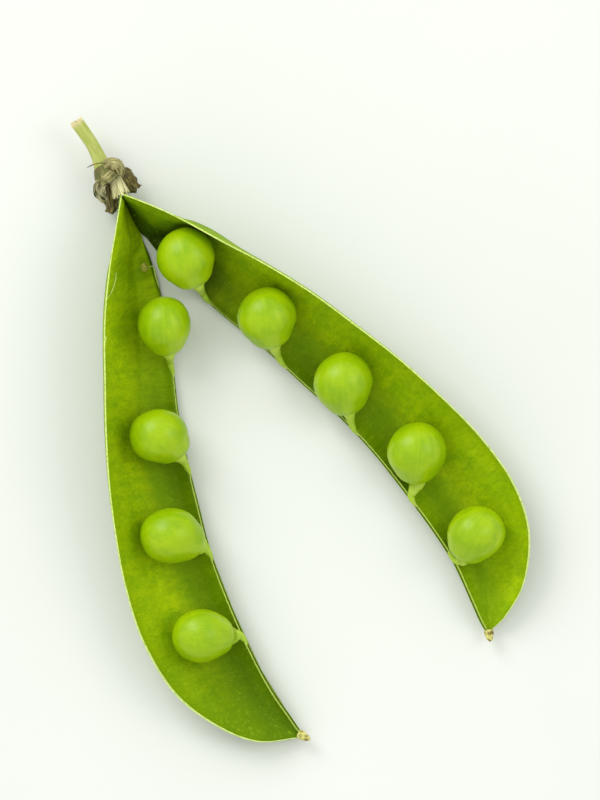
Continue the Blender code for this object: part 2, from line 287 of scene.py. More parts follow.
def valve_place(cells, knots, painted_shading_levels):
    """Places one point of a valve: up the outer face, over the dorsal rim, down the inner face
    and over the ventral rim with its two ridges. The ridge is lumpy at each knot."""

    def place(section, u):
        inner, rim, cord, groove, hollow = 0.0, 0.0, 0.0, 0.0, 0.0
        # The valves part over this stretch, and further on the placenta turns pale
        free = slope(0.085, 0.125, section.share)
        paled = free * slope(0.15, 0.25, section.share)
        if u < OUTER_ENDS:
            v = (1.0 - math.cos(math.pi * u / OUTER_ENDS)) / 2
            point = section.at(v, -MEETING * (1.0 - free) * slope(0.12, 0.0, v))
            rim = slope(0.995, 1.0, v) * 0.7
        elif u < DORSAL_ENDS:
            v, rim = 1.0, 1.0
            inner = (u - OUTER_ENDS) / (DORSAL_ENDS - OUTER_ENDS)
            half_wall, turn = thickness(section, 1.0) / 2, math.pi * inner
            point = section.at(1.0, half_wall * (1.0 - math.cos(turn)), half_wall * math.sin(turn))
        elif u < INNER_ENDS:
            turn = math.pi * (u - DORSAL_ENDS) / (INNER_ENDS - DORSAL_ENDS)
            v = (1.0 + math.cos(turn)) / 2
            inwards = thickness(section, v)
            hollow = pressed(section.at(v, inwards), cells)
            inwards -= PRESSED_HOLLOW * hollow * slope(0.0, 0.12, v) * slope(1.0, 0.8, v)
            point, inner = section.at(v, inwards), 1.0
            rim = slope(0.975, 1.0, v)
            cord = paled * slope(0.0004, 0.0, v)
        else:
            v, turn = 0.0, (u - INNER_ENDS) / (1.0 - INNER_ENDS)
            outer_lip, full = -MEETING * (1.0 - free), thickness(section, 0.0)
            inwards = full + (outer_lip - full) * turn + free * 0.25 * bell(0.15, 0.13, turn)
            wander = noise.noise(Vector((section.along * 1.3, 0.0, 0.0)))
            lumps = sum(bell(knot, 1.5, section.along) for knot in knots)
            lumps *= 0.5 + noise.noise(Vector((section.along * 3.1, turn * 2.0, 5.0)))
            rough = noise.noise(Vector((section.along * 1.9, turn * 4.0, 9.0)))
            # The inner ridge is high and lumpy, the outer one is low, and a trench lies between
            ridge = bell(0.2, 0.13, turn) * (0.24 + 0.12 * wander + 0.14 * rough + 0.35 * lumps)
            lip = bell(0.86, 0.13, turn) * 0.14
            trench = bell(0.54, 0.15, turn) * 0.16
            round_over = 0.1 * math.sin(math.pi * turn) + ridge + lip - trench
            point = section.at(0.0, inwards, free * round_over * min(1.0, section.width / 6.0))
            inner = 1.0 - turn
            cord = paled * max(bell(0.18, 0.16, turn), 0.7 * bell(0.92, 0.12, turn))
            # The groove mark carries painted shade: in the trench, and over the whole rim before
            # the placenta pales
            groove = max(bell(0.55, 0.17, turn), 1.0 - paled)
        # The last mark is painted shading for the lining: above zero it paints shade, below zero
        # it paints light
        near_stem, near_tip = slope(34.0, 8.0, section.along), slope(60.0, 84.0, section.along)
        painted_shading = painted_shading_levels[0] * near_stem + painted_shading_levels[2] * near_tip
        painted_shading += painted_shading_levels[1] * (1.0 - near_stem - near_tip)
        marks = (section.along, v * section.width, inner, rim, cord, groove, hollow, painted_shading)
        return point, marks

    return place


class Wire:
    """A value in a material's node tree. Sums and products of wires add their Math nodes."""

    def __init__(self, tree, socket=None):
        self.tree, self.socket = tree, socket

    def node(self, kind, settings=(), values=(), out=0):
        """Adds a node: its settings, then a number, a colour or a wire for each named socket."""
        made = self.tree.nodes.new(kind)
        for name, value in dict(settings).items():
            setattr(made, name, value)
        for name, value in dict(values).items():
            if isinstance(value, Wire):
                self.tree.links.new(value.socket, made.inputs[name])
            else:
                made.inputs[name].default_value = value
        return Wire(self.tree, made.outputs[out])

    def math(self, operation, *others):
        values = dict(enumerate((self, *others)))
        return self.node("ShaderNodeMath", {"operation": operation}, values)

    def __add__(self, other):
        return self.math("ADD", other)

    def __sub__(self, other):
        return self.math("SUBTRACT", other)

    def __rsub__(self, other):
        return self.node("ShaderNodeMath", {"operation": "SUBTRACT"}, {0: other, 1: self})

    def __mul__(self, other):
        return self.math("MULTIPLY", other)

    __radd__, __rmul__ = __add__, __mul__

    def slope(self, low, high):
        """0 below low and 1 above high, with a soft rise between."""
        settings = {"interpolation_type": "SMOOTHSTEP"}
        values = {"Value": self, "From Min": low, "From Max": high}
        return self.node("ShaderNodeMapRange", settings, values)

    def mix(self, low, high):
        """The colour low where this wire is 0 and the colour high where it is 1."""
        values = {0: self, 6: low, 7: high}
        return self.node("ShaderNodeMix", {"data_type": "RGBA"}, values, out=2)

    def attribute(self, name, out="Fac"):
        return self.node("ShaderNodeAttribute", {"attribute_name": name}, out=out)

    def on_piece(self):
        """Where a point is on the piece, in metres."""
        return self.node("ShaderNodeTexCoord", out="Object")

    def joined(self, x, y, z=0.0):
        return self.node("ShaderNodeCombineXYZ", values={"X": x, "Y": y, "Z": z})

    def noise(self, vector, scale, detail, roughness=0.5, distortion=0.0):
        values = {"Vector": vector, "Scale": scale, "Detail": detail}
        values |= {"Roughness": roughness, "Distortion": distortion}
        return self.node("ShaderNodeTexNoise", values=values)

    def stretch(self, vector, scale, turn=(0.0, 0.0, 0.0)):
        values = {"Vector": vector, "Scale": scale, "Rotation": turn}
        return self.node("ShaderNodeMapping", values=values)

    def bump(self, height, distance, strength):
        values = {"Height": height, "Distance": distance, "Strength": strength}
        return self.node("ShaderNodeBump", values=values)


def tint(red, green, blue):
    """A colour as a paint chip gives it, 0 to 255, turned into the shader's linear colour."""
    shares = (red / 255, green / 255, blue / 255)
    linear = (s / 12.92 if s <= 0.04045 else ((s + 0.055) / 1.055) ** 2.4 for s in shares)
    return (*linear, 1.0)


def finish_off(colour, roughness, bump=None, **fixed):
    """Completes a material: what varies is wired to its shader and what doesn't is set on it."""
    shader = colour.tree.nodes["Principled BSDF"]
    colour.tree.links.new(colour.socket, shader.inputs["Base Color"])
    colour.tree.links.new(roughness.socket, shader.inputs["Roughness"])
    if bump:
        colour.tree.links.new(bump.socket, shader.inputs["Normal"])
    for name, value in fixed.items():
        shader.inputs[name.replace("_", " ")].default_value = value


def start_finish(name):
    """A new material, and the wire that adds nodes to it."""
    made = bpy.data.materials.new(name)
    made.use_nodes = True
    return made, Wire(made.node_tree)


pod_wall, wire = start_finish("pod_wall")
along, across = wire.attribute("along"), wire.attribute("across")
inner, rim = wire.attribute("inner"), wire.attribute("rim")
cord, groove = wire.attribute("cord"), wire.attribute("groove")
hollow, painted_shading = wire.attribute("hollow"), wire.attribute("painted_shading")
flow = wire.joined(along, across, inner * 9.0)
clouds = wire.noise(flow, 0.2, 3.0, 0.55)
blotches = wire.noise(wire.stretch(flow, (1.0, 0.55, 1.0)), 0.9, 4.0, 0.65, 0.6)
bands = wire.noise(wire.stretch(flow, (1.0, 0.16, 1.0)), 0.55, 2.0, 0.5)
fibres = wire.noise(wire.stretch(flow, (3.0, 0.6, 1.0), (0.0, 0.0, 0.6)), 1.3, 4.0, 0.7)
grain = wire.noise(flow, 2.6, 4.0, 0.75)
dots = wire.noise(wire.stretch(flow, (1.0, 0.1, 0.1)), 2.0, 2.0, 0.6)
drift = wire.node("ShaderNodeTexNoise", values={"Vector": flow, "Scale": 0.5}, out="Color")
bent = wire.node("ShaderNodeVectorMath", {"operation": "ADD"}, {0: flow, 1: drift})
net, net_place = {"feature": "DISTANCE_TO_EDGE"}, {"Vector": bent, "Scale": 0.42}
veins = wire.node("ShaderNodeTexVoronoi", net, net_place)
# The inner face: mottled green flesh, ringed where the peas pressed
flesh = clouds * 0.24 + blotches * 0.3 + bands * 0.16 + fibres * 0.3
lining = flesh.slope(0.4, 0.6).mix(tint(130, 168, 0), tint(172, 198, 0))
pressed_ring = hollow.slope(0.15, 0.45) * hollow.slope(0.85, 0.5)
lining = (pressed_ring * 0.15).mix(lining, tint(172, 184, 0))
# Painted shade: past the stem end the lining is darker green over its ventral half, and darker
# still up the ventral side
opened = along.slope(16.0, 42.0)
trough = across.slope(7.8, 3.0) * across.slope(-3.0, 2.0)
lining = (trough * opened * 0.75).mix(lining, tint(102, 136, 0))
painted_wall_shade = across.slope(3.2, 0.5) * along.slope(62.0, 46.0)
lining = (painted_wall_shade * opened * 0.45).mix(lining, tint(62, 92, 0))
# Painted shade and painted light on whole stretches of each valve, most of all at an end
lining = (painted_shading.slope(0.0, 1.0) * 0.55).mix(lining, tint(84, 116, 0))
# Painted shade: the ventral side of the right valve's stem end is far darker
neck = painted_shading.slope(0.0, 0.7) * along.slope(40.0, 24.0) * across.slope(7.0, 0.5)
lining = (neck * 0.9).mix(lining, tint(30, 50, 0))
# Painted shade: a little darker towards the dorsal rim, past the stem end
lining = (across.slope(8.5, 12.0) * opened * 0.35).mix(lining, tint(118, 152, 0))
# Painted shade at the very tip of the left valve
painted_tip_shade = painted_shading.slope(0.4, 1.0) * along.slope(74.0, 90.0)
lining = (painted_tip_shade * 0.5).mix(lining, tint(66, 100, 0))
# Painted light: where the mark is below zero the lining is paler
lining = (painted_shading.slope(0.0, -1.0) * 0.7).mix(lining, tint(178, 212, 0))
# Fine veins and a grain of dark and pale flecks
lining = (veins.slope(0.09, 0.0) * clouds.slope(0.45, 0.65) * 0.2).mix(lining, tint(98, 138, 0))
lining = (grain.slope(0.46, 0.3) * 0.4).mix(lining, tint(96, 134, 0))
lining = (grain.slope(0.55, 0.72) * 0.4).mix(lining, tint(186, 210, 48))
# The outer face, the pale dorsal rim, and the placenta with the groove between its ridges
skin = (clouds * 0.6 + grain * 0.4).slope(0.35, 0.65).mix(tint(100, 134, 4), tint(122, 152, 22))
# Painted light: the outer face is paler towards the dorsal rim
skin = (across.slope(11.0, 15.0) * 0.4).mix(skin, tint(150, 176, 66))
colour = inner.slope(0.3, 0.7).mix(skin, lining)
# Painted shade: a dark line along each side of the pale dorsal rim
colour = (rim.slope(0.05, 0.3) * rim.slope(0.8, 0.5) * 0.55).mix(colour, tint(92, 126, 0))
rim_colour = dots.slope(0.3, 0.6).mix(tint(170, 198, 78), tint(216, 234, 134))
colour = rim.slope(0.45, 0.85).mix(colour, rim_colour)
cord_colour = grain.slope(0.35, 0.62).mix(tint(132, 162, 34), tint(204, 220, 116))
colour = (cord * 0.9).mix(colour, cord_colour)
# Painted shade in the trench between the placenta's ridges and on the ventral rim near the stem
colour = (groove * 0.9).mix(colour, tint(58, 84, 0))
height = fibres * 0.5 + grain * 0.5 + blotches * 0.8
finish_off(
    colour,
    0.6 + (1.0 - inner) * 0.02 + grain * 0.12,
    wire.bump(height, 0.14 * MM, 0.6),
    Specular_IOR_Level=0.08,
    Subsurface_Weight=0.1,
    Subsurface_Radius=(0.9, 1.0, 0.1),
    Subsurface_Scale=0.6 * MM,
)

VALVE_MARKS = ("along", "across", "inner", "rim", "cord", "groove", "hollow", "painted_shading")
SECTIONS = {
    side: [Section(side, k / SECTIONS_ALONG) for k in range(SECTIONS_ALONG + 1)] for side in SEAMS
}


def middle_of(node):
    """The middle of a CAD node, in millimetres."""
    low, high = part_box(node)
    return (low + high) / 2 / MM


PEAS_IN = {"left": 4, "right": 5}
# The placenta is lumpy this far past the middle of each pea, where its stalk joined
KNOT_PAST_PEA = 6.5
# How much painted shade (1) or painted light (-1) lies on the lining at the stem end, in the
# middle and at the tip
PAINTED_SHADING_LEVELS = {"left": (-0.2, 0.0, 1.0), "right": (1.0, -0.1, -0.2)}
for side, sections in SECTIONS.items():
    seats = [middle_of(f"pea_{side}_{k + 1}").xy for k in range(PEAS_IN[side])]
    cells = seats + [(a + b) / 2 for a, b in zip(seats, seats[1:])]
    nearest = [min(sections, key=lambda cut: (cut.at(0.5).xy - seat).length) for seat in seats]
    knots = [section.along + KNOT_PAST_PEA for section in nearest]
    skin = wrap(sections, POINTS_ROUND, valve_place(cells, knots, PAINTED_SHADING_LEVELS[side]), VALVE_MARKS)
    new_piece(f"{side}_valve", skin, pod_wall, "pod_wall", f"valve_{side}")


# ---- The peas ----
# Nine full-grown seeds, held by the short stalks along the ventral seam. Each is a firm green
# ball with a thin waxy skin, a little flattened where its neighbours pressed on it in the shut
# pod, and drawn out and paler where its stalk joins.

# For each pea: its size across and along the plan, the way its stalk leaves it, in degrees, how
# far towards the tip the stalk bends on its way to the seam, and how broad the stalk is
PEAS = {
    "left_1": ((8.5, 9.2), -81, 0.5, 1.0),
    "left_2": ((9.4, 8.8), -45, 0.5, 1.1),
    "left_3": ((9.8, 9.2), -20, 0.4, 1.7),
    "left_4": ((9.3, 8.9), 0, 0.3, 1.7),
    "right_1": ((9.4, 9.5), -66, 0.8, 1.0),
    "right_2": ((9.55, 9.4), -76, 1.0, 1.1),
    "right_3": ((9.6, 9.6), -79, 1.0, 1.1),
    "right_4": ((9.6, 9.4), -90, 0.2, 1.5),
    "right_5": ((9.4, 8.8), -118, -1.2, 1.2),
}
# The way to the tip of each valve, and how far each stalk dips below the level, in degrees
TIPWARDS = {"left": -80, "right": -44}
STALK_DROOP = 20
# How far a pea strays from round, as shares of its radius
DRAWN_OUT, FLATTENED, UNEVEN = 0.15, 0.035, 0.012
PEA_SUBDIVISIONS = 6


def compass(degrees, droop=0.0):
    """A direction turned anticlockwise from +X, and drooping below the level."""
    bearing, down = math.radians(degrees), math.radians(droop)
    level = Vector((math.cos(bearing), math.sin(bearing), 0.0)) * math.cos(down)
    return level - Vector((0.0, 0.0, math.sin(down)))


def half_sizes(wide, long):
    """A pea's half sizes across, along and up. It is as high as it is wide and long on average."""
    return Vector((wide / 2, long / 2, (wide + long) / 4))


pea_skin, wire = start_finish("pea_skin")
spot = wire.on_piece()
stalk_side = wire.attribute("stalk_side")
meridians = wire.attribute("meridian", out="Vector")
clouds = wire.noise(spot, 240.0, 3.0, 0.55)
pores = wire.noise(spot, 2600.0, 2.0, 0.5)
streaks = wire.noise(meridians, 5.0, 3.0, 0.6)
colour = clouds.slope(0.35, 0.65).mix(tint(130, 168, 0), tint(149, 181, 0))
colour = (streaks.slope(0.42, 0.7) * 0.24).mix(colour, tint(178, 203, 12))
colour = (pores.slope(0.5, 0.8) * 0.2).mix(colour, tint(186, 208, 40))
colour = (stalk_side.slope(0.84, 0.99) * 0.7).mix(colour, tint(178, 202, 66))
finish_off(
    colour,
    0.28 + pores * 0.12,
    wire.bump(pores * 0.5 + streaks * 0.6 + clouds, 0.05 * MM, 0.35),
    Specular_IOR_Level=0.26,
    Subsurface_Weight=0.15,
    Subsurface_Radius=(1.0, 1.0, 0.1),
    Subsurface_Scale=1.2 * MM,
)

for number, (name, (size, degrees, *_)) in enumerate(PEAS.items()):
    centre, half = middle_of(f"pea_{name}"), half_sizes(*size)
    stalk = compass(degrees, STALK_DROOP)
    tipwards = compass(TIPWARDS[name.split("_")[0]])
    skin = bmesh.new()
    stalk_layer = skin.verts.layers.float.new("stalk_side")
    meridian_layer = skin.verts.layers.float_vector.new("meridian")
    bmesh.ops.create_icosphere(skin, subdivisions=PEA_SUBDIVISIONS, radius=1.0)
    for vert in skin.verts:
        way = vert.co.normalized()
        facing = way.dot(stalk)
        radius = 1.0 + DRAWN_OUT * slope(0.5, 1.0, facing) ** 1.5
        radius -= FLATTENED * slope(0.6, 1.0, abs(way.dot(tipwards)))
        radius += UNEVEN * noise.noise(way * 1.4 + Vector((number * 3.7, 0.0, 0.0)))
        vert.co = (centre + way * radius * half) * MM
        vert[stalk_layer] = facing
        vert[meridian_layer] = (way - stalk * facing).normalized() + stalk * facing * 0.2
    new_piece(f"{name}_pea", skin, pea_skin, "pea_skin", f"pea_{name}")


# ---- The funicles ----
# The short stalks that feed the peas. Each one spreads like a trumpet over the pea's skin,
# narrows to a soft neck, and runs out along the placenta that it grows from.

NECK_LENGTH, TAIL = 1.9, 1.8
# Where the trumpet ends, in radii of the pea, and where the neck is on its way to the seam
TRUMPET_TO, NECK_AT = 1.16, 0.65
# Half its height and half its width, from the pea's skin to the end of its tail. A broad stalk
# takes these shares of its extra width.
FUNICLE_WIDTHS = (
    (1.5, 1.6), (0.86, 0.92), (0.62, 0.68), (0.5, 0.56), (0.44, 0.5), (0.32, 0.36), (0.1, 0.12)
)
EXTRA_SHARES = (0.2, 0.8, 1.0, 0.7, 0.3, 0.0, 0.0)
UPWARDS = Vector((0.0, 0.0, 1.0))


class Cut:
    """One cut across a stalk, a thread or a leaf: its middle, its frame and its half widths."""

    def __init__(self, middle, ahead, side, half_side, half_up, f):
        self.middle, self.ahead, self.side = middle, ahead, side
        self.up = ahead.cross(side).normalized()
        self.half_side, self.half_up, self.f = half_side, half_up, f

    def out(self, turn, swell=1.0):
        """A point of its outline."""
        level = self.side * self.half_side * math.cos(turn)
        return self.middle + (level + self.up * self.half_up * math.sin(turn)) * swell


def round_cut(cut, u):
    """A plain outline. Its mark is how far along the piece it is."""
    return cut.out(math.tau * u), (cut.f,)


def cuts_along(points, widths, facing, count):
    """Cuts along a smooth line through points. Each width is two halves, one towards facing."""
    cuts = []
    for k in range(count + 1):
        f = k / count
        ahead = through(points, min(f + 0.01, 1.0)) - through(points, max(f - 0.01, 0.0))
        ahead.normalize()
        side = (facing - ahead * facing.dot(ahead)).normalized()
        half_side, half_up = through(widths, f)
        cuts.append(Cut(through(points, f), ahead, side, half_side, half_up, f))
    return cuts


def placenta_at(side, near):
    """The section of a valve whose ridge is nearest to a point."""

    def away(section):
        return (section.at(0.0, VENTRAL_RIM + 0.1, 0.15).xy - near.xy).length

    return min(SECTIONS[side], key=away)


def further(side, section, distance):
    """The section this far towards the tip."""
    return min(SECTIONS[side], key=lambda cut: abs(cut.along - section.along - distance))


funicle, wire = start_finish("funicle")
spot = wire.on_piece()
down = wire.attribute("down")
clouds = wire.noise(spot, 900.0, 3.0, 0.55)
colour = down.slope(0.0, 0.6).mix(tint(176, 200, 64), tint(156, 186, 40))
colour = (clouds.slope(0.45, 0.7) * 0.4).mix(colour, tint(182, 202, 84))
finish_off(
    colour,
    0.45 + clouds * 0.1,
    wire.bump(clouds, 0.1 * MM, 0.5),
    Specular_IOR_Level=0.35,
    Subsurface_Weight=0.2,
    Subsurface_Radius=(1.0, 1.0, 0.2),
    Subsurface_Scale=0.8 * MM,
)

for name, (size, degrees, bend, breadth) in PEAS.items():
    side, stalk = name.split("_")[0], compass(degrees, STALK_DROOP)
    centre, half = middle_of(f"pea_{name}"), half_sizes(*size)
    radius = 1.0 / Vector(s / h for s, h in zip(stalk, half)).length
    tip_way = compass(TIPWARDS[side])
    nearest = placenta_at(side, centre + stalk * (radius + NECK_LENGTH) + tip_way * bend)
    joint = nearest.at(0.0, VENTRAL_RIM + 0.2, 0.1)
    tail_cuts = [further(side, nearest, math.copysign(TAIL, bend) * f) for f in (0.5, 1.0)]
    tail = [cut.at(0.0, VENTRAL_RIM * 0.75, 0.1) for cut in tail_cuts]
    start = centre + stalk * radius
    swell = centre + stalk * radius * TRUMPET_TO
    neck = swell.lerp(joint, NECK_AT) + (stalk - tip_way * math.copysign(1.0, bend)) * 0.1
    neck.z = joint.z + 0.2
    line = [tuple(point) for point in (start, swell, swell.lerp(neck, 0.45), neck, joint, *tail)]
    broader = [1.0 + (breadth - 1.0) * f for f in EXTRA_SHARES]
    widths = [(up, level * more) for (up, level), more in zip(FUNICLE_WIDTHS, broader)]
    cuts = cuts_along(line, widths, UPWARDS, 40)
    skin = wrap(cuts, 24, round_cut, ("down",))
    new_piece(f"{name}_funicle", skin, funicle, "funicle", f"funicle_{name}")


# ---- The seed that did not grow, and the loose fibres ----
# Near the stem end one seed stayed tiny and shrivelled, on a thread of a stalk. Where the left
# valve was pulled open, fine pale fibres of its dorsal seam have peeled away.


def thread(points, radius, count=40):
    """A round fibre that thins out at both ends."""
    widths = [(radius * f, radius * f) for f in (0.4, 1.0, 1.0, 0.8, 0.3)]
    cuts = cuts_along(points, widths, Vector((0.1, 0.2, 1.0)), count)
    return wrap(cuts, 8, round_cut, ("down",))


def gather(skins):
    """One mesh out of several closed skins."""
    whole = bmesh.new()
    for skin in skins:
        part = bpy.data.meshes.new("part")
        skin.to_mesh(part)
        skin.free()
        whole.from_mesh(part)
        bpy.data.meshes.remove(part)
    return whole


def on_valve(side, share, v, above):
    """A point above the inner face of a valve, at this share of its length and at v across."""
    section = min(SECTIONS[side], key=lambda cut: abs(cut.share - share))
    return section.at(v, thickness(section, v) + above)


dried_seed, wire = start_finish("undeveloped_seed")
spot = wire.on_piece()
clouds = wire.noise(spot, 1400.0, 3.0, 0.6)
colour = clouds.slope(0.35, 0.65).mix(tint(146, 156, 36), tint(192, 182, 84))
finish_off(colour, 0.6 + clouds * 0.1, wire.bump(clouds, 0.15 * MM, 0.7))
SEED_HALF = Vector((0.55, 0.66, 0.5))
centre = middle_of("undeveloped_seed")
skin = bmesh.new()
bmesh.ops.create_icosphere(skin, subdivisions=5, radius=1.0)
for vert in skin.verts:
    way = vert.co.normalized()
    wrinkled = 1.1 + 0.35 * noise.noise(way * 1.3 + Vector((2.0, 0.0, 0.0)))
    wrinkled += 0.12 * noise.noise(way * 4.0)
    vert.co = (centre + way * wrinkled * SEED_HALF) * MM
new_piece("small_seed", skin, dried_seed, "undeveloped_seed", "undeveloped_seed")

fibre, wire = start_finish("loose_fibre")
down = wire.attribute("down")
colour = down.slope(0.0, 1.0).mix(tint(214, 234, 124), tint(196, 220, 96))
finish_off(colour, 0.5 + down * 0.1)
seed_section = placenta_at("left", centre)
route = [centre + Vector((0.4, 0.0, 0.1))]
route += [further("left", seed_section, mm).at(0.0, 0.62, 0.34) for mm in (0.4, 1.6, 2.8, 3.8)]
skin = thread([tuple(point) for point in route], 0.11)
new_piece("small_seed_stalk", skin, fibre, "funicle")

# Two fibres on the left valve: the places that each passes over, as a share of the valve's
# length and the way across it, and its radius
PEELED = (
    (((0.121, 0.62), (0.137, 0.64), (0.155, 0.78), (0.170, 0.92), (0.185, 0.975)), 0.1),
    (((0.246, 1.0), (0.251, 1.0), (0.256, 0.99), (0.262, 0.985), (0.268, 0.98)), 0.09),
)
fibres = []
for places, radius in PEELED:
    route = [tuple(on_valve("left", share, v, radius)) for share, v in places]
    fibres.append(thread(route, radius))
new_piece("peeled_fibres", gather(fibres), fibre, "pod_wall")


# ---- The stem end ----
# What the pod hung by: a green stalk, torn off at its far end, and a small ribbed cup of calyx
# with five dry, curled lobes. A papery cuff, the sheath of the old stamens, holds the foot of
# the valves.


def plan(x, y, z):
    """A point given from where the valves meet at the stem."""
    return (x - POD_MIDDLE.x, y - POD_MIDDLE.y, z)


# The stalk's middle line from its torn end to the calyx, and its two half widths along it
PEDICEL_ROUTE = ((-7.0, 11.3, 5.4), (-4.9, 8.3, 5.0), (-3.7, 6.1, 4.6), (-2.9, 4.2, 4.5))
PEDICEL_WIDTHS = ((1.06, 1.06), (1.0, 1.02), (1.05, 1.08), (1.45, 1.4))


def pedicel_place(cut, u):
    """The stalk is ribbed, and its torn end is hollow in the middle and ragged at the rim."""
    turn = math.tau * u
    ribs = 1.0 + 0.04 * math.cos(5.0 * turn + 0.8) + 0.02 * math.cos(9.0 * turn)
    ragged = noise.noise(Vector((math.cos(turn) * 3.0, math.sin(turn) * 3.0, 1.0)))
    torn = slope(0.1, 0.02, cut.f)
    closing = 0.2 + 0.8 * slope(0.0, 0.03, cut.f)
    point = cut.out(turn, ribs * closing) - cut.ahead * torn * (0.55 * ragged + 0.25 * closing)
    return point, (cut.f, u, torn)


stalk_finish, wire = start_finish("pedicel")
down, turn, torn = wire.attribute("down"), wire.attribute("turn"), wire.attribute("torn")
streaks = wire.noise(wire.joined(down, turn * 14.0), 2.6, 3.0, 0.6)
spot = wire.on_piece()
mottle = wire.noise(spot, 900.0, 3.0, 0.6)
colour = streaks.slope(0.35, 0.65).mix(tint(150, 165, 58), tint(184, 186, 104))
colour = (mottle.slope(0.5, 0.75) * 0.4).mix(colour, tint(192, 180, 98))
colour = (down.slope(0.75, 1.0) * 0.6).mix(colour, tint(122, 140, 48))
colour = torn.mix(colour, tint(204, 190, 138))
finish_off(colour, 0.5 + mottle * 0.1, wire.bump(streaks + mottle * 0.5, 0.12 * MM, 0.6))
route = [plan(*point) for point in PEDICEL_ROUTE]
cuts = cuts_along(route, PEDICEL_WIDTHS, UPWARDS, 90)
skin = wrap(cuts, 72, pedicel_place, ("down", "turn", "torn"))
new_piece("stalk", skin, stalk_finish, "pedicel", "pedicel")

# Each torn fibre: how far round the stalk's end it stands, and how long it is
TORN_FIBRES = ((0.3, 0.9), (1.4, 0.6), (2.3, 1.1), (3.3, 0.7), (4.2, 1.2), (5.3, 0.8))
dry_fibre, wire = start_finish("dry_fibre")
down = wire.attribute("down")
colour = down.slope(0.0, 1.0).mix(tint(196, 184, 128), tint(226, 214, 166))
finish_off(colour, 0.7 + down * 0.1)
end = cuts[0]
fibres = []
for turn, length in TORN_FIBRES:
    foot = end.out(turn, 0.8) + end.ahead * 0.5
    spread = (foot - end.middle) * 0.5
    route = [foot - end.ahead * length * f + spread * f * f for f in (0, 0.3, 0.6, 0.8, 1)]
    fibres.append(thread([tuple(point) for point in route], 0.14, 16))
new_piece("torn_fibres", gather(fibres), dry_fibre, "pedicel")


class Ring:
    """One ring round the axis of the calyx: how far along it is, and its radius."""

    def __init__(self, along, radius, f):
        self.along, self.radius, self.f = along, radius, f


def rings_along(profile, count):
    """Rings read from a smooth profile of places along the axis and radii."""
    made = []
    for k in range(count + 1):
        along, radius = through(profile, k / count)
        made.append(Ring(along, max(radius, 0.02), k / count))
    return made


def turned(axis_start, axis_end, height, shape):
    """Places a point of a ring round a level axis. The shape says how it strays."""
    start, end = Vector(plan(*axis_start, height)), Vector(plan(*axis_end, height))
    ahead = (end - start).normalized()
    side = ahead.cross(UPWARDS).normalized()
    up = side.cross(ahead)

    def place(ring, u):
        turn = math.tau * u
        swell, further_on = shape(ring, turn)
        out = side * math.cos(turn) + up * math.sin(turn)
        point = start + ahead * (ring.along + further_on) + out * ring.radius * swell
        return point, (ring.f, u)

    return place


# Down the outside of the cup and back up its hollow: the place along its axis, and the radius
CUP_PROFILE = (
    (0.3, 0.0), (0.0, 0.8), (0.1, 1.4), (0.7, 1.8), (1.5, 2.05), (2.3, 2.1), (2.9, 2.1),
    (3.0, 2.0), (2.8, 1.85), (2.0, 1.8), (1.4, 1.7), (1.3, 0.8), (1.3, 0.0),
)


def cup_shape(ring, turn):
    """Ten ribs, and an uneven edge where the lobes begin."""
    ribs = 0.05 * math.cos(10.0 * turn) * slope(0.5, 1.5, ring.along)
    torn = slope(2.0, 3.0, ring.along) * 0.5 * noise.noise(Vector((turn * 2.2, 3.0, 0.0)))
    return 1.0 + ribs, torn


cup_finish, wire = start_finish("calyx_cup")
down, turn = wire.attribute("down"), wire.attribute("turn")
ribs = wire.noise(wire.joined(down * 2.0, turn * 20.0), 1.3, 3.0, 0.6)
spot = wire.on_piece()
mottle = wire.noise(spot, 800.0, 3.0, 0.6)
colour = ribs.slope(0.35, 0.65).mix(tint(74, 80, 24), tint(122, 126, 60))
colour = mottle.slope(0.4, 0.65).mix(colour, tint(98, 86, 42))
finish_off(colour, 0.65 + mottle * 0.1, wire.bump(ribs + mottle, 0.2 * MM, 0.8))
place = turned((-3.1, 4.5), (-1.5, 2.0), 4.6, cup_shape)
skin = wrap(rings_along(CUP_PROFILE, 96), 96, place, ("down", "turn"))
new_piece("calyx", skin, cup_finish, "calyx_cup", "calyx_cup")

# Down the outside of the cuff and back up its inside
SHEATH_PROFILE = (
    (-0.5, 0.9), (0.0, 1.0), (0.7, 1.12), (1.4, 1.22), (2.1, 1.34), (2.65, 1.42), (2.7, 1.36),
    (2.5, 1.3), (1.4, 1.14), (0.7, 1.02), (0.0, 0.9), (-0.45, 0.82), (-0.5, 0.9),
)


def sheath_shape(ring, turn):
    """Pleats, where the stamens grew together, and a ragged edge."""
    pleats = 0.05 * math.cos(9.0 * turn + 1.0) + 0.02 * math.cos(23.0 * turn)
    ragged = noise.noise(Vector((math.cos(turn) * 4.0, math.sin(turn) * 4.0, 2.0)))
    return 1.0 + pleats, slope(1.0, 2.5, ring.along) * 0.7 * ragged


sheath_finish, wire = start_finish("dry_stamen")
down, turn = wire.attribute("down"), wire.attribute("turn")
pleats = wire.noise(wire.joined(down * 1.5, turn * 34.0), 1.5, 2.0, 0.5)
colour = pleats.slope(0.38, 0.6).mix(tint(136, 128, 70), tint(214, 210, 158))
finish_off(colour, 0.7 + pleats * 0.1, wire.bump(pleats, 0.25 * MM, 0.9))
place = turned((-0.8, 2.2), (-0.05, 0.1), 4.9, sheath_shape)
rings = rings_along(SHEATH_PROFILE, 72)
skin = wrap(rings, 120, place, ("down", "turn"))
new_piece("stamen_cuff", skin, sheath_finish, "dry_stamen", "stamen_sheath")

# Half of how thick a dry lobe is, and how far its free end strays from straight
HALF_LEAF, RAGGED = 0.12, 0.6


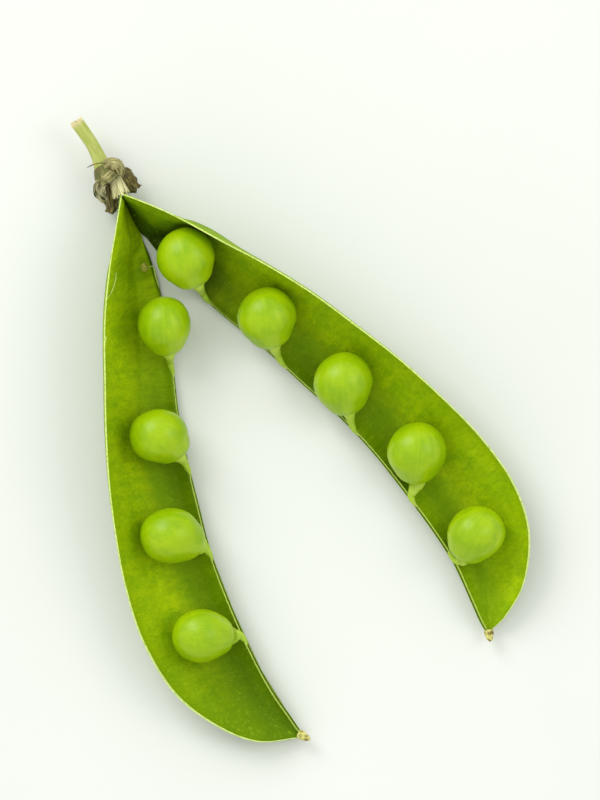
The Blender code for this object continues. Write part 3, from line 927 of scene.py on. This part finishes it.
def lobe_place(curl, number):
    """A dry leaf: curled under at its edges, puckered, and ragged at its free end."""

    def place(cut, u):
        upper = u < 0.5
        across = 4.0 * u - 1.0 if upper else 3.0 - 4.0 * u
        seed = Vector((number * 7.3, 0.0, 0.0))
        edge = 1.0 + 0.26 * noise.noise(Vector((cut.f * 6.0, across, 0.0)) + seed)
        wander = noise.noise(Vector((cut.f * 3.0, across * 1.3, 2.0)) + seed)
        pucker = 0.6 * wander + 0.07 * math.cos(9.0 * across + 3.0 * wander + number)
        pucker += 0.22 * noise.noise(Vector((cut.f * 5.0, across * 2.5, 4.0)) + seed)
        torn = slope(0.75, 1.0, cut.f) * noise.noise(Vector((across * 2.0, 6.0, 0.0)) + seed)
        sheet = math.sqrt(max(1.0 - across * across, 0.0)) * HALF_LEAF
        lift = pucker - curl * across * across * cut.half_up + (sheet if upper else -sheet)
        point = cut.middle + cut.up * cut.half_up * across * edge + cut.side * lift
        return point + cut.ahead * RAGGED * torn, (cut.f, across)

    return place


def leaf_finish(name, dark, pale):
    """Dry leaf: veined along, blotched, and brittle."""
    finish, wire = start_finish(name)
    down, side = wire.attribute("down"), wire.attribute("side")
    veins = wire.noise(wire.joined(down * 2.0, side * 5.0), 1.6, 3.0, 0.65)
    mottle = wire.noise(wire.on_piece(), 550.0, 3.0, 0.6)
    colour = veins.slope(0.35, 0.65).mix(tint(*dark), tint(*pale))
    colour = (mottle.slope(0.5, 0.7) * 0.7).mix(colour, tint(*dark))
    finish_off(colour, 0.75 + mottle * 0.1, wire.bump(veins + mottle, 0.2 * MM, 0.8))
    return finish


TAN = leaf_finish("dry_sepal_tan", (98, 92, 42), (190, 183, 124))
GREY = leaf_finish("dry_sepal_grey", (42, 38, 12), (204, 200, 150))
BROWN = leaf_finish("dry_sepal_brown", (26, 22, 2), (138, 124, 62))
# The calyx lobes: the middle line, the half width, how much the edges curl under, the way that
# the broad side faces, how blunt the free end is, and how the lobe has dried
LOBES = (
    (
        ((-2.4, 3.9, 6.5), (-1.6, 4.6, 7.2), (-0.6, 4.6, 7.5), (0.0, 3.9, 7.3), (0.0, 2.8, 6.8)),
        1.1, 0.3, (0.2, 0.2, 1.0), 0.45, TAN,
    ),
    (
        ((-0.9, 3.3, 6.5), (-1.5, 3.0, 6.8), (-2.2, 2.5, 6.8), (-2.8, 2.0, 6.4), (-3.3, 1.6, 5.9)),
        0.85, 0.25, (-0.1, 0.1, 1.0), 0.8, TAN,
    ),
    (
        (
            (-2.7, 1.7, 5.3), (-3.1, 0.9, 5.6), (-3.1, 0.1, 5.4), (-2.8, -0.6, 5.0),
            (-2.3, -1.1, 4.5),
        ),
        0.95, -0.7, (-0.4, 0.0, 1.0), 0.5, GREY,
    ),
    (
        (
            (-1.7, 1.6, 3.6), (-1.7, 0.2, 3.2), (-1.6, -1.1, 2.7), (-1.6, -2.2, 2.2),
            (-1.7, -3.1, 1.7),
        ),
        1.25, 0.4, (-0.2, 0.0, 1.0), 0.75, BROWN,
    ),
    (
        ((0.2, 3.6, 4.9), (0.9, 2.9, 4.7), (1.5, 2.1, 4.2), (2.1, 1.3, 3.7), (2.6, 0.6, 3.2)),
        1.35, 0.3, (0.2, 0.3, 1.0), 0.8, BROWN,
    ),
)
for number, (route, half_width, curl, facing, blunt, finish) in enumerate(LOBES, 1):
    widths = [(1.0, half_width * f) for f in (0.75, 1.0, 1.0, (1.0 + blunt) / 2, blunt)]
    cuts = cuts_along([plan(*point) for point in route], widths, Vector(facing), 60)
    skin = wrap(cuts, 96, lobe_place(curl, number), ("down", "side"))
    new_piece(f"calyx_lobe_{number}", skin, finish, "dry_sepal", f"sepal_{number}")

# A loose thread that peeled off the first lobe
LOOSE_THREAD = (
    (-2.3, 4.7, 7.0), (-3.2, 4.8, 6.9), (-4.2, 4.6, 6.6), (-4.9, 4.3, 6.3), (-5.4, 4.0, 6.0)
)
skin = thread([plan(*point) for point in LOOSE_THREAD], 0.1)
new_piece("calyx_thread", skin, BROWN, "dry_sepal")


# ---- The dry ends of the style ----
# Each valve carries half of the old style at its tip, a small brown point. It dried long before
# the pod was full, so it is rough and brittle.

style_finish, wire = start_finish("dry_style")
spot = wire.on_piece()
mottle = wire.noise(spot, 1500.0, 3.0, 0.6)
colour = mottle.slope(0.35, 0.6).mix(tint(108, 92, 30), tint(204, 200, 112))
finish_off(colour, 0.7 + mottle * 0.1, wire.bump(mottle, 0.2 * MM, 0.8))
STYLE_WIDTHS = ((0.45, 0.75), (0.5, 0.72), (0.46, 0.62), (0.36, 0.48), (0.16, 0.2))


def style_place(cut, u):
    """A rough outline."""
    turn = math.tau * u
    spot = Vector((math.cos(turn) * 2.0, math.sin(turn) * 2.0, cut.f * 7.0))
    return cut.out(turn, 1.0 + 0.25 * noise.noise(spot)), (cut.f,)


for side in SEAMS:
    low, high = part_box(f"style_{side}")
    low, high = low / MM, high / MM
    start = SECTIONS[side][-1].at(0.5, 0.4)
    end = Vector((high.x if side == "left" else (low.x + high.x) / 2, low.y, high.z))
    line = [tuple(start.lerp(end, f)) for f in (0.0, 0.25, 0.5, 0.75, 0.95)]
    cuts = cuts_along(line, STYLE_WIDTHS, UPWARDS, 40)
    skin = wrap(cuts, 32, style_place, ("down",))
    new_piece(f"{side}_style", skin, style_finish, "dry_style", f"style_{side}")


# ---- The table, the light and the camera ----
# A plain pale table under soft daylight: a window on the upper left, a weaker light high on the
# right, and a bright sky all round. The camera looks straight down from well above.

table_top, wire = start_finish("table_top")
spot = wire.on_piece()
cloud = wire.noise(spot, 9.0, 3.0)
colour = cloud.slope(0.2, 0.8).mix(tint(214, 216, 210), tint(220, 222, 217))
finish_off(colour, 0.55 + cloud * 0.1)
HALF_TABLE = 0.7
top = bmesh.new()
bmesh.ops.create_grid(top, x_segments=8, y_segments=8, size=HALF_TABLE)
mesh = bpy.data.meshes.new("table")
top.to_mesh(mesh)
top.free()
mesh.materials.append(table_top)
table = bpy.data.objects.new("table", mesh)
bpy.context.scene.collection.objects.link(table)
table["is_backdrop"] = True


def add_light(name, towards, distance, size, power):
    """A square soft box that looks at the middle of the pod."""
    light = bpy.data.lights.new(name, "AREA")
    light.shape, light.size, light.energy = "SQUARE", size, power
    box = bpy.data.objects.new(name, light)
    way = Vector(towards).normalized()
    box.location = way * distance
    box.rotation_euler = way.to_track_quat("Z", "Y").to_euler()
    bpy.context.scene.collection.objects.link(box)


add_light("window", towards=(-0.52, 0.62, 0.62), distance=0.9, size=0.5, power=4.2)
add_light("overhead", towards=(0.65, 0.17, 0.74), distance=0.9, size=0.45, power=1.5)

world = bpy.data.worlds.new("daylight")
world.use_nodes = True
sky = world.node_tree.nodes["Background"]
sky.inputs["Color"].default_value = (0.98, 1.0, 0.97, 1.0)
sky.inputs["Strength"].default_value = 0.97
bpy.context.scene.world = world

# What the camera takes in at a level inside the pod, and how far above that it stands
VIEW_MIDDLE, VIEW_LEVEL, VIEW_HEIGHT = (-0.0001, 0.0049), 0.005, 0.128
CAMERA_DISTANCE, SENSOR_HEIGHT = 2.5, 36.0
lens = bpy.data.cameras.new("camera")
lens.sensor_fit, lens.sensor_height = "VERTICAL", SENSOR_HEIGHT
lens.lens = SENSOR_HEIGHT * CAMERA_DISTANCE / VIEW_HEIGHT
camera = bpy.data.objects.new("camera", lens)
camera.location = (*VIEW_MIDDLE, VIEW_LEVEL + CAMERA_DISTANCE)
bpy.context.scene.collection.objects.link(camera)
bpy.context.scene.camera = camera
bpy.context.scene.view_settings.view_transform = "Standard"

size = {"cad": cad_box, "visual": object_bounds()}
